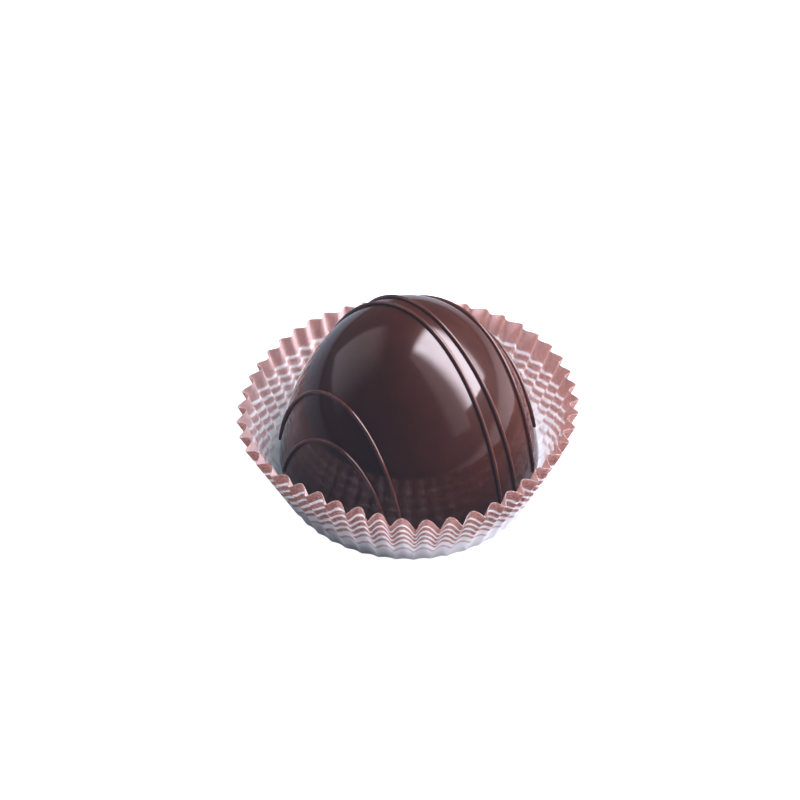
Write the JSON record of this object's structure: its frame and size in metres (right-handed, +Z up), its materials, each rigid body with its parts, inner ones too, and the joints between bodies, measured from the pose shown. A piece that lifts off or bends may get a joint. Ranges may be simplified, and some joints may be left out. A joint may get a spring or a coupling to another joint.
{
  "type": "chocolate truffle",
  "caption": "Half-egg chocolate truffle with thin piped chocolate threads, standing in a low flared paper case with pleats and printed stripes.",
  "frame": {"origin": "centre of the paper case's underside, on the surface that it stands on", "axes": "+Z up, -Y towards the front, +X to the right as seen from the front"},
  "size_m": [0.0387, 0.0388, 0.024],
  "materials": {
    "chocolate_shell": "glossy dark chocolate",
    "chocolate_piping": "satin milk-dark chocolate",
    "printed_paper": "smooth white paper printed with copper-brown stripes"
  },
  "bodies": {
    "root": {"truffle": "chocolate_shell", "thread_1": "chocolate_piping", "thread_2": "chocolate_piping", "thread_3": "chocolate_piping", "thread_4": "chocolate_piping", "thread_5": "chocolate_piping", "thread_6": "chocolate_piping", "paper_case": "printed_paper"}
  },
  "joints": []
}
